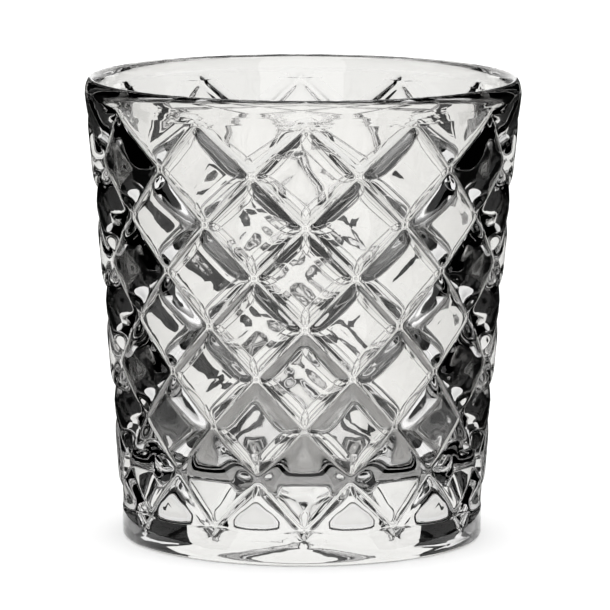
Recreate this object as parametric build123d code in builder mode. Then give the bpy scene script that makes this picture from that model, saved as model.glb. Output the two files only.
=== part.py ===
from build123d import *
import math
import os

# Whiskey tumbler: one piece of pressed clear glass. Millimetres, +Z up.
# The origin is the centre of the base, on the plane that the glass stands on, and a column of
# diamonds faces -Y.

# Overall size
HEIGHT = 93.2
RIM_RADIUS = 44.0

# The outer wall is nearly a cone: it widens a little faster towards the rim
WALL_SLOPE = 0.0725
WALL_FLARE = 0.00014

# Foot: a plain vertical band, a rounded heel and a dished underside
FOOT_RADIUS = 36.5
FOOT_BAND_HEIGHT = 7.5
FOOT_BLEND_TOP = 11.5
HEEL_ROUND = 0.9
DISH_RADIUS = 31.0
DISH_DEPTH = 0.9

# Drinking space
LIP_THICKNESS = 2.4
LIP_HEIGHT = 3.3  # the lip is half an ellipse, this tall and as wide as the wall
FLOOR_HEIGHT = 15.2
FLOOR_ROUND = 8.0
LOWER_WALL = 4.5  # from the outer to the inner wall, below the inner flare
FLARE_START = 66.0

# Diamond pattern: V grooves cross at nine levels, numbered downwards
DIAMONDS_AROUND = 12
HALF_PITCH = 180.0 / DIAMONDS_AROUND
TOP_LEVEL_HEIGHT = 88.1
LEVEL_DROP = 10.16
LAST_LEVEL = 8
GROOVE_DEPTH = 2.4
TOP_GROOVE_DEPTH = 1.2
BOTTOM_GROOVE_DEPTH = 1.7
PEAK_RISE = 3.2  # the flanks of a diamond would meet this far outside the wall

# The diamond solid is closed by two points on the axis, far past the glass
FAR_TOP = 420.0
FAR_BOTTOM = -330.0


def wall_radius(z):
    """Radius of the outer wall, which carries the rim band and the tops of the diamonds."""
    below_lip = HEIGHT - LIP_HEIGHT
    return RIM_RADIUS - WALL_SLOPE * (below_lip - z) - WALL_FLARE * (below_lip**2 - z**2)


def level_height(level):
    """Height of a level of groove crossings."""
    return TOP_LEVEL_HEIGHT - LEVEL_DROP * level


def groove_depth(level):
    """Depth of the crossings below the wall: the grooves run out towards the rim and the foot."""
    return {0: TOP_GROOVE_DEPTH, LAST_LEVEL: BOTTOM_GROOVE_DEPTH}.get(level, GROOVE_DEPTH)


def around(radius, step, z):
    """A point at a number of half pitches around the glass, counted from -Y."""
    angle = math.radians(step * HALF_PITCH - 90.0)
    return Vector(radius * math.cos(angle), radius * math.sin(angle), z)


def crossing(level, step):
    """Where four grooves meet. Crossings lie where level + step is even."""
    z = level_height(level)
    return around(wall_radius(z) - groove_depth(level), step, z)


def peak(level, step):
    """Where the four flanks of a diamond would meet. Diamonds lie where level + step is odd."""
    z = level_height(level)
    return around(wall_radius(z) + PEAK_RISE, step, z)


def run_out(level, inner_level, step):
    """Where the grooves of an end crossing have run out past the surface of the glass."""
    flank_x = crossing(inner_level, step - 1) - crossing(level, step)
    flank_y = peak(level, step - 1) - crossing(level, step)
    flank = Plane(origin=crossing(level, step), x_dir=flank_x, z_dir=flank_x.cross(flank_y))
    outside = around(wall_radius(level_height(level)) + PEAK_RISE, step, 0)
    return flank.intersect(Axis(outside, (0, 0, 1)))


def polygon_face(*points):
    return Face(Wire.make_polygon(points))


def whole_diamond(level, step):
    """The four flanks of a diamond, from its peak to the grooves around it."""
    corners = [
        crossing(level - 1, step),
        crossing(level, step + 1),
        crossing(level + 1, step),
        crossing(level, step - 1),
    ]
    top = peak(level, step)
    return [polygon_face(top, a, b) for a, b in zip(corners, corners[1:] + corners[:1])]


def open_diamond(level, inner_level, step):
    """The two flanks of a half diamond that is open to the rim band or to the foot band."""
    faces = []
    for side in (-1, 1):
        inner = crossing(inner_level, step)
        end = run_out(level, inner_level, step + side)
        faces.append(polygon_face(peak(level, step), inner, crossing(level, step + side), end))
    return faces


def closing_fan(level, inner_level, far_point):
    """Faces from the open diamonds of an end level to a far point on the axis."""
    ring = []
    for step in range(2 * DIAMONDS_AROUND):
        is_crossing = (level + step) % 2 == 0
        ring.append(run_out(level, inner_level, step) if is_crossing else peak(level, step))
    return [polygon_face(a, b, far_point) for a, b in zip(ring, ring[1:] + ring[:1])]


def diamond_solid():
    """A faceted solid whose valleys are the grooves and whose peaks stand outside the glass."""
    faces = []
    for level in range(LAST_LEVEL + 1):
        for step in range((level + 1) % 2, 2 * DIAMONDS_AROUND, 2):
            if level == 0:
                faces += open_diamond(level, level + 1, step)
            elif level == LAST_LEVEL:
                faces += open_diamond(level, level - 1, step)
            else:
                faces += whole_diamond(level, step)
    faces += closing_fan(0, 1, Vector(0, 0, FAR_TOP))
    faces += closing_fan(LAST_LEVEL, LAST_LEVEL - 1, Vector(0, 0, FAR_BOTTOM))
    return Solid(Shell(faces))


def near(sketch, r, z):
    """The vertex of a section that lies at radius r and height z."""
    return sketch.vertices().sort_by_distance((r, z, 0))[0]


diamonds = diamond_solid()

# Points of the section, as (radius, height)
heel = (FOOT_RADIUS, 0.0)
wall_foot = (wall_radius(FOOT_BLEND_TOP), FOOT_BLEND_TOP)
wall_middle = (wall_radius(HEIGHT / 2), HEIGHT / 2)
lip_outside = (RIM_RADIUS, HEIGHT - LIP_HEIGHT)
lip_centre = (RIM_RADIUS - LIP_THICKNESS / 2, HEIGHT - LIP_HEIGHT)
lip_inside = (RIM_RADIUS - LIP_THICKNESS, HEIGHT - LIP_HEIGHT)
flare_start = (wall_radius(FLARE_START) - LOWER_WALL, FLARE_START)
floor_corner = (wall_radius(FLOOR_HEIGHT) - LOWER_WALL, FLOOR_HEIGHT)
wall_direction = (flare_start[0] - floor_corner[0], flare_start[1] - floor_corner[1])
dish_sphere = (DISH_RADIUS**2 + DISH_DEPTH**2) / (2 * DISH_DEPTH)

with BuildPart() as glass_body:
    with BuildSketch(Plane.XZ) as section:
        with BuildLine():
            Polyline((DISH_RADIUS, 0.0), heel, (FOOT_RADIUS, FOOT_BAND_HEIGHT), wall_foot)
            ThreePointArc(wall_foot, wall_middle, lip_outside)
            EllipticalCenterArc(lip_centre, LIP_THICKNESS / 2, LIP_HEIGHT, start_angle=0, arc_size=180)
            TangentArc(flare_start, lip_inside, tangent=wall_direction)
            Polyline(flare_start, floor_corner, (0.0, FLOOR_HEIGHT), (0.0, DISH_DEPTH))
            RadiusArc((0.0, DISH_DEPTH), (DISH_RADIUS, 0.0), dish_sphere)
        make_face()
        fillet(near(section, *heel), radius=HEEL_ROUND)
        fillet(near(section, *floor_corner), radius=FLOOR_ROUND)
    revolve(axis=Axis.Z)
    add(diamonds, mode=Mode.INTERSECT)

glass_body.part.label = "glass_body"

os.makedirs("parts", exist_ok=True)
export_step(glass_body.part, "parts/glass_body.step")
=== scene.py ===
import math

import bpy
import numpy as np
from mathutils import Matrix, Vector


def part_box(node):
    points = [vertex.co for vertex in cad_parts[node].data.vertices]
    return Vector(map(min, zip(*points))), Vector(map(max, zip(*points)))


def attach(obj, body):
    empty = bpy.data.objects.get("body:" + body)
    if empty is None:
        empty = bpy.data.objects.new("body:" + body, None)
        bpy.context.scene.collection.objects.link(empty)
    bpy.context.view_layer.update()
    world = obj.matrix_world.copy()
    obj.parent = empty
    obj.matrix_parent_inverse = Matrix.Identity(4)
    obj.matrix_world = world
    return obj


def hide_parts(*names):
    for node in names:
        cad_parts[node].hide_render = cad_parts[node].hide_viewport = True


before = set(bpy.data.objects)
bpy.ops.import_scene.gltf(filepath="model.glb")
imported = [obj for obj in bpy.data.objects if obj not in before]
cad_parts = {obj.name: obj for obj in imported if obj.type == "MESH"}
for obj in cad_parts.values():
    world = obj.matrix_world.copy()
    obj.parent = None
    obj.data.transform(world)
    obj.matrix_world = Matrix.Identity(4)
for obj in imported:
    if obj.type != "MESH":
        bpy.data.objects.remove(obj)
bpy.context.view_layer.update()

MM = 0.001

# Lengths below are in millimetres, and the mesh is made in metres.

# Overall size, from the frame
LOW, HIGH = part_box("glass_body")
HEIGHT = HIGH[2] / MM
RIM_RADIUS = min(HIGH[0], HIGH[1], -LOW[0], -LOW[1]) / MM

# Rim, wall and drinking space
LIP_THICKNESS = 2.4
LIP_HEIGHT = 3.3
BAND_BOTTOM = HEIGHT - LIP_HEIGHT
WALL_SLOPE = 0.0725
WALL_FLARE = 0.00014
LOWER_WALL = 4.5
FLARE_START = 66.0
FLOOR_HEIGHT = 15.2
FLOOR_ROUND = 8.0

# Foot
FOOT_RADIUS = 36.5
FOOT_BAND_HEIGHT = 7.5
FOOT_BLEND_TOP = 11.5
HEEL_ROUND = 0.9
DISH_RADIUS = 31.0
DISH_DEPTH = 0.9

# Diamond pattern: grooves cross at nine levels, numbered downwards
DIAMONDS_AROUND = 12
HALF_PITCH = math.pi / DIAMONDS_AROUND
TOP_LEVEL_HEIGHT = 88.1
LEVEL_DROP = 10.16
LAST_LEVEL = 8
TOP_RUN_OUT = BAND_BOTTOM - TOP_LEVEL_HEIGHT
BAND_EDGE = 0.7
BOTTOM_RUN_OUT = 3.4

# Section across a groove: a rounded valley, a steep flank and a shallow shoulder
VALLEY_ROUND = 0.5
FLANK_EDGE = 1.8
FLANK_ROUND = 0.85
FLANK_SLOPE = math.tan(math.radians(50.0))
SHOULDER_EDGE = 3.4
SHOULDER_ROUND = 0.6
SHOULDER_SLOPE = math.tan(math.radians(16.0))
TOP_GROOVE_DEPTH = 1.2
BOTTOM_GROOVE_DEPTH = 1.25
GROOVE_DEPTH = 2.3
HIP_ROUND = 1.5
TABLE_DOME = 0.15

# Grid lines across half a diamond, from groove to middle
HALF_STATIONS = (0.0, 0.03, 0.06, 0.1, 0.145, 0.19, 0.24, 0.3, 0.37, 0.43, 0.5, 0.72, 1.0)


def wall_radius(z):
    """Radius of the outer wall, which carries the rim band and the tops of the diamonds."""
    return RIM_RADIUS - WALL_SLOPE * (BAND_BOTTOM - z) - WALL_FLARE * (BAND_BOTTOM**2 - z**2)


def smooth_step(x):
    x = np.clip(x, 0.0, 1.0)
    return x * x * (3.0 - 2.0 * x)


def body_radius(z):
    """The outer wall, drawn in a little to the plain foot band."""
    blend = smooth_step((z - FOOT_BAND_HEIGHT) / (FOOT_BLEND_TOP - FOOT_BAND_HEIGHT))
    return FOOT_RADIUS + (wall_radius(z) - FOOT_RADIUS) * blend


def ramp(x, rounding):
    """x where it is positive and 0 where it is negative, with a rounded corner."""
    return np.where(x > rounding, x, np.clip(x + rounding, 0.0, None) ** 2 / (4.0 * rounding))


def groove_cut(distance, depth):
    """Depth of the cut at a distance from the middle of a groove of that depth."""
    extra = FLANK_SLOPE - SHOULDER_SLOPE
    full_depth = extra * FLANK_EDGE + SHOULDER_SLOPE * SHOULDER_EDGE - FLANK_SLOPE * VALLEY_ROUND / 2.0
    inward = (full_depth - np.minimum(depth, full_depth)) / FLANK_SLOPE
    flank = extra * ramp(FLANK_EDGE - inward - distance, FLANK_ROUND)
    shoulder = SHOULDER_SLOPE * ramp(SHOULDER_EDGE - inward - distance, SHOULDER_ROUND)
    valley = FLANK_SLOPE * np.maximum(VALLEY_ROUND - distance, 0.0) ** 2 / (2.0 * VALLEY_ROUND)
    return flank + shoulder - valley


def diamond_grid():
    """Grid lines along both groove directions, as positions counted in diamonds."""
    half = np.array(HALF_STATIONS) / 2.0
    return np.concatenate([half, 1.0 - half[-2:0:-1]])


def lattice_points():
    """The cut surface, as an array of points. Rows run up the grooves, columns run around the glass.

    A point is named by its places p and q along the two groove directions. Grooves lie where p or q
    is a whole number, s = p + q counts half pitches around the glass, and t = p - q counts levels down.
    """
    grid = diamond_grid()
    n = len(grid)
    q_index = np.arange(DIAMONDS_AROUND * n)[:, None]
    p_index = q_index + np.arange(-n, (LAST_LEVEL + 1) * n + 1)[None, :]
    p = p_index // n + grid[p_index % n]
    q = q_index // n + grid[q_index % n]
    s, t = p + q, p - q

    z = TOP_LEVEL_HEIGHT - LEVEL_DROP * np.clip(t, 0, LAST_LEVEL)
    z = z + TOP_RUN_OUT * np.maximum(-t, 0) - BOTTOM_RUN_OUT * np.maximum(t - LAST_LEVEL, 0)
    level = (TOP_LEVEL_HEIGHT - z) / LEVEL_DROP
    past_end = np.maximum(-level, 0) + np.maximum(level - LAST_LEVEL, 0)

    # distances to the nearest groove of each direction, counted in diamonds
    near_p = np.abs(p - np.round(p))
    near_q = np.abs(q - np.round(q))
    off_open = np.abs(s % 2.0 - 1.0)
    ended = past_end > 0
    near_p = np.where(ended, (1.0 + past_end - off_open) / 2.0, near_p)
    near_q = np.where(ended, (1.0 + past_end + off_open) / 2.0, near_q)

    radius = body_radius(z)
    across = 2.0 / np.hypot(1.0 / LEVEL_DROP, 1.0 / (radius * HALF_PITCH))
    depth = GROOVE_DEPTH + (TOP_GROOVE_DEPTH - GROOVE_DEPTH) * smooth_step(1.0 - level)
    depth = depth + (BOTTOM_GROOVE_DEPTH - GROOVE_DEPTH) * smooth_step(level - LAST_LEVEL + 1.0)
    nearest = np.minimum(near_p, near_q) * across
    apart = np.abs(near_p - near_q) * across
    hip = np.maximum(HIP_ROUND - apart, 0.0) ** 2 / (4.0 * HIP_ROUND)
    cut = groove_cut(np.abs(nearest - hip), depth)
    cut = cut * smooth_step((BAND_BOTTOM - z) / BAND_EDGE)

    in_p, in_q = 0.5 - near_p, 0.5 - near_q
    dome = TABLE_DOME * 2.0 * (in_p**2 + in_q**2)
    dome = dome * smooth_step(level) * smooth_step(LAST_LEVEL - level)

    radius = radius - cut - dome
    angle = s * HALF_PITCH
    return np.stack([radius * np.sin(angle), -radius * np.cos(angle), z], axis=-1)


def lattice_faces(columns, n):
    """Triangles of the cut surface, split along the hips of the diamonds."""
    faces = []
    last = (LAST_LEVEL + 1) * n

    def vertex(p_index, q_index):
        return (q_index % columns) * (last + n + 1) + (p_index - q_index + n)

    for q in range(columns):
        for d in range(-n, last + 1):
            p = q + d
            a, b = (p, q), (p + 1, q)
            c, e = (p + 1, q + 1), (p, q + 1)
            if d == -n:
                faces.append((vertex(*a), vertex(*b), vertex(*c)))
            elif d == last:
                faces.append((vertex(*a), vertex(*c), vertex(*e)))
            else:
                first_half_p, first_half_q = p % n < n // 2, q % n < n // 2
                if first_half_p == first_half_q:
                    faces.append((vertex(*a), vertex(*b), vertex(*c)))
                    faces.append((vertex(*a), vertex(*c), vertex(*e)))
                else:
                    faces.append((vertex(*a), vertex(*b), vertex(*e)))
                    faces.append((vertex(*b), vertex(*c), vertex(*e)))
    return faces


def arc(centre, width, height, start, end, steps):
    """Points of an elliptical arc, as (radius, height), without its first point. Angles are in degrees."""
    angles = np.radians(np.linspace(start, end, steps + 1)[1:])
    return [(centre[0] + width * math.cos(a), centre[1] + height * math.sin(a)) for a in angles]


def line(start, end, steps):
    """Points of a straight line, without its first point."""
    shares = np.linspace(0.0, 1.0, steps + 1)[1:]
    return [(start[0] + (end[0] - start[0]) * u, start[1] + (end[1] - start[1]) * u) for u in shares]


def upper_section(start):
    """Section from the top of the cut surface, over the lip and down the inside to the floor."""
    half_lip = LIP_THICKNESS / 2.0
    corner = (wall_radius(FLOOR_HEIGHT) - LOWER_WALL, FLOOR_HEIGHT)
    wall = wall_radius(FLARE_START) - LOWER_WALL
    slope = (wall - corner[0]) / (FLARE_START - FLOOR_HEIGHT)
    rise = BAND_BOTTOM - FLARE_START
    flare = (RIM_RADIUS - LIP_THICKNESS - wall - slope * rise) / rise**2
    points = arc((RIM_RADIUS - half_lip, BAND_BOTTOM), half_lip, LIP_HEIGHT, 0.0, 180.0, 20)
    for up in (rise - 0.3, *np.linspace(rise - 1.0, 0.0, 13)):
        points.append((wall + slope * up + flare * up**2, FLARE_START + up))
    tilt = math.atan(slope)
    reach = FLOOR_ROUND * math.tan(math.radians(45.0) - tilt / 2.0)
    centre = (corner[0] - reach, FLOOR_HEIGHT + FLOOR_ROUND)
    wall_end = (centre[0] + FLOOR_ROUND * math.cos(tilt), centre[1] - FLOOR_ROUND * math.sin(tilt))
    points += line(points[-1], wall_end, 12)
    points += arc(centre, FLOOR_ROUND, FLOOR_ROUND, -math.degrees(tilt), -90.0, 12)
    points += line(points[-1], (0.4, FLOOR_HEIGHT), 7)
    return points, (0.0, FLOOR_HEIGHT)


def lower_section(start):
    """Section from the bottom of the cut surface, round the heel and under the dish."""
    points = line(start, (FOOT_RADIUS, HEEL_ROUND), 3)
    points += arc((FOOT_RADIUS - HEEL_ROUND, HEEL_ROUND), HEEL_ROUND, HEEL_ROUND, 0.0, -90.0, 7)
    points += line(points[-1], (DISH_RADIUS, 0.0), 3)
    for r in np.linspace(DISH_RADIUS, 0.4, 9)[1:]:
        points.append((r, DISH_DEPTH * (1.0 - (r / DISH_RADIUS) ** 2)))
    return points, (0.0, DISH_DEPTH)


def glass_mesh():
    lattice = lattice_points()
    columns, rows, _ = lattice.shape
    n = columns // DIAMONDS_AROUND
    vertices = [lattice.reshape(-1, 3)]
    faces = lattice_faces(columns, n)
    count = columns * rows
    for section, edge_row, upward in ((upper_section, 0, True), (lower_section, rows - 1, False)):
        edge = lattice[:, edge_row]
        ring = np.arange(columns) * rows + edge_row
        turn = np.arctan2(edge[:, 0], -edge[:, 1])
        start = (float(np.hypot(edge[0, 0], edge[0, 1])), float(edge[0, 2]))
        points, pole = section(start)
        for r, z in points:
            vertices.append(np.stack([r * np.sin(turn), -r * np.cos(turn), np.full(columns, z)], axis=-1))
            new_ring = count + np.arange(columns)
            for i in range(columns):
                j = (i + 1) % columns
                quad = (ring[i], ring[j], new_ring[j], new_ring[i])
                faces.append(quad if upward else quad[::-1])
            ring = new_ring
            count += columns
        vertices.append(np.array([[pole[0], 0.0, pole[1]]]))
        for i in range(columns):
            j = (i + 1) % columns
            fan = (ring[i], ring[j], count)
            faces.append(fan if upward else fan[::-1])
        count += 1
    mesh = bpy.data.meshes.new("tumbler_glass")
    mesh.from_pydata(np.concatenate(vertices) * MM, [], [tuple(int(v) for v in face) for face in faces])
    mesh.validate()
    mesh.shade_smooth()
    return mesh


def glass_material():
    """Clear pressed glass: the polished skin waves very slightly, with fine mould grain on top."""
    material = bpy.data.materials.new("clear_glass")
    material.use_nodes = True
    nodes, links = material.node_tree.nodes, material.node_tree.links
    shader = nodes["Principled BSDF"]
    shader.inputs["Base Color"].default_value = (0.985, 0.98, 0.972, 1.0)
    shader.inputs["IOR"].default_value = 1.52
    shader.inputs["Transmission Weight"].default_value = 1.0
    place = nodes.new("ShaderNodeTexCoord")
    normal = None
    for scale, detail, distance in ((150.0, 1.0, 0.00001), (1100.0, 3.0, 0.0000008)):
        noise = nodes.new("ShaderNodeTexNoise")
        noise.inputs["Scale"].default_value = scale
        noise.inputs["Detail"].default_value = detail
        bump = nodes.new("ShaderNodeBump")
        bump.inputs["Distance"].default_value = distance
        links.new(place.outputs["Object"], noise.inputs["Vector"])
        links.new(noise.outputs["Fac"], bump.inputs["Height"])
        if normal is not None:
            links.new(normal, bump.inputs["Normal"])
        normal = bump.outputs["Normal"]
    links.new(normal, shader.inputs["Normal"])
    polish = nodes.new("ShaderNodeMapRange")
    polish.inputs["From Min"].default_value = 0.3
    polish.inputs["From Max"].default_value = 0.7
    polish.inputs["To Min"].default_value = 0.0
    polish.inputs["To Max"].default_value = 0.02
    links.new(noise.outputs["Fac"], polish.inputs["Value"])
    links.new(polish.outputs["Result"], shader.inputs["Roughness"])
    return material


glass = bpy.data.objects.new("tumbler_glass", glass_mesh())
bpy.context.scene.collection.objects.link(glass)
glass.data.materials.append(glass_material())
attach(glass, "root")
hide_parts("glass_body")


# Studio

CAMERA_DISTANCE = 1086.5
CAMERA_HEIGHT = 213.4
CAMERA_AZIMUTH = math.radians(-0.79)
CAMERA_PITCH = math.radians(8.7226)
CAMERA_ROLL = math.radians(0.18)
CAMERA_OFFSET = 0.52
SENSOR = 36.0
CAMERA_LENS = 320.4


def add_camera():
    data = bpy.data.cameras.new("camera")
    data.lens = CAMERA_LENS
    data.sensor_width = SENSOR
    data.clip_start = 0.05
    data.clip_end = 50.0
    camera = bpy.data.objects.new("camera", data)
    turn = Matrix.Rotation(CAMERA_AZIMUTH, 4, "Z")
    place = Matrix.Translation(Vector((CAMERA_OFFSET, -CAMERA_DISTANCE, CAMERA_HEIGHT)) * MM)
    tilt = Matrix.Rotation(math.pi / 2 - CAMERA_PITCH, 4, "X") @ Matrix.Rotation(CAMERA_ROLL, 4, "Z")
    camera.matrix_world = turn @ place @ tilt
    bpy.context.scene.collection.objects.link(camera)
    bpy.context.scene.camera = camera


def dimmed_in_glass(tree, plain, dimmed):
    """A value that is lower where something is seen through the glass, but not where it lights the floor."""
    ray = tree.nodes.new("ShaderNodeLightPath")
    seen = tree.nodes.new("ShaderNodeMath")
    seen.operation = "SUBTRACT"
    tree.links.new(ray.outputs["Is Transmission Ray"], seen.inputs[0])
    tree.links.new(ray.outputs["Diffuse Depth"], seen.inputs[1])
    dimming = tree.nodes.new("ShaderNodeMapRange")
    dimming.inputs["To Min"].default_value = plain
    dimming.inputs["To Max"].default_value = dimmed
    tree.links.new(seen.outputs["Value"], dimming.inputs["Value"])
    return dimming.outputs["Result"]


def add_floor():
    mesh = bpy.data.meshes.new("floor")
    reach = 3.0
    corners = [(-reach, -reach, 0), (reach, -reach, 0), (reach, reach, 0), (-reach, reach, 0)]
    mesh.from_pydata(corners, [], [(0, 1, 2, 3)])
    floor = bpy.data.objects.new("floor", mesh)
    floor.location.z = LOW[2]
    bpy.context.scene.collection.objects.link(floor)
    material = bpy.data.materials.new("floor")
    material.use_nodes = True
    shader = material.node_tree.nodes["Principled BSDF"]
    tree = material.node_tree
    tree.links.new(dimmed_in_glass(tree, 0.98, 0.74), shader.inputs["Base Color"])
    shader.inputs["Roughness"].default_value = 1.0
    shader.inputs["Specular IOR Level"].default_value = 0.0
    mesh.materials.append(material)


# Panels that only show in the glass: name, (start, end) in degrees from +Y, section of
# (radius, height) in metres, shade, and whether they show through the glass or in its reflections
PANELS = (
    ("backdrop", (0.0, 27.0), ((0.05, 0.0005), (0.6, 0.0005), (0.6, 0.3)), 0.66, True),
    ("backdrop_head", (0.0, 27.0), ((0.6, 0.3), (0.6, 0.9)), 0.05, True),
    ("flag_floor", (22.0, 84.0), ((0.046, 0.001), (0.6, 0.001)), 0.004, True),
    ("flag_behind", (27.0, 84.0), ((0.6, 0.001), (0.6, 0.26)), 0.004, True),
    ("flag_around", (32.0, 150.0), ((0.046, 0.001), (0.1, 0.001), (0.1, 0.22)), 0.004, False),
)


def add_panel(name, sector, section, shade, seen_through, side):
    turns = np.radians(np.linspace(sector[0], sector[1], 29)) * side
    points = [(r * math.sin(a), r * math.cos(a), z) for r, z in section for a in turns]
    count = len(turns)
    corners = [k * count + i for k in range(len(section) - 1) for i in range(count - 1)]
    mesh = bpy.data.meshes.new(name)
    mesh.from_pydata(points, [], [(i, i + 1, i + 1 + count, i + count) for i in corners])
    material = bpy.data.materials.new(name)
    material.use_nodes = True
    shader = material.node_tree.nodes["Principled BSDF"]
    shader.inputs["Base Color"].default_value = (shade, shade, 0.985 * shade, 1.0)
    shader.inputs["Roughness"].default_value = 1.0
    shader.inputs["Specular IOR Level"].default_value = 0.0
    mesh.materials.append(material)
    panel = bpy.data.objects.new(name, mesh)
    panel.visible_camera = False
    panel.visible_diffuse = False
    panel.visible_shadow = False
    panel.visible_transmission = seen_through
    panel.visible_glossy = not seen_through
    bpy.context.scene.collection.objects.link(panel)


def add_panels():
    """Grey and black panels give the cuts of the glass their dark lines, as in a studio picture."""
    for panel in PANELS:
        for side in (-1, 1):
            add_panel(*panel, side)


def add_world():
    """Plain soft light from all round, a little dimmer where it is seen through the glass."""
    world = bpy.data.worlds.new("studio")
    world.use_nodes = True
    tree = world.node_tree
    background = tree.nodes["Background"]
    background.inputs["Color"].default_value = (1, 1, 1, 1)
    tree.links.new(dimmed_in_glass(tree, 1.15, 0.74), background.inputs["Strength"])
    bpy.context.scene.world = world


add_panels()
add_camera()
add_floor()
add_world()
bpy.context.scene.view_settings.view_transform = "Standard"
bpy.context.scene.view_settings.look = "Medium High Contrast"
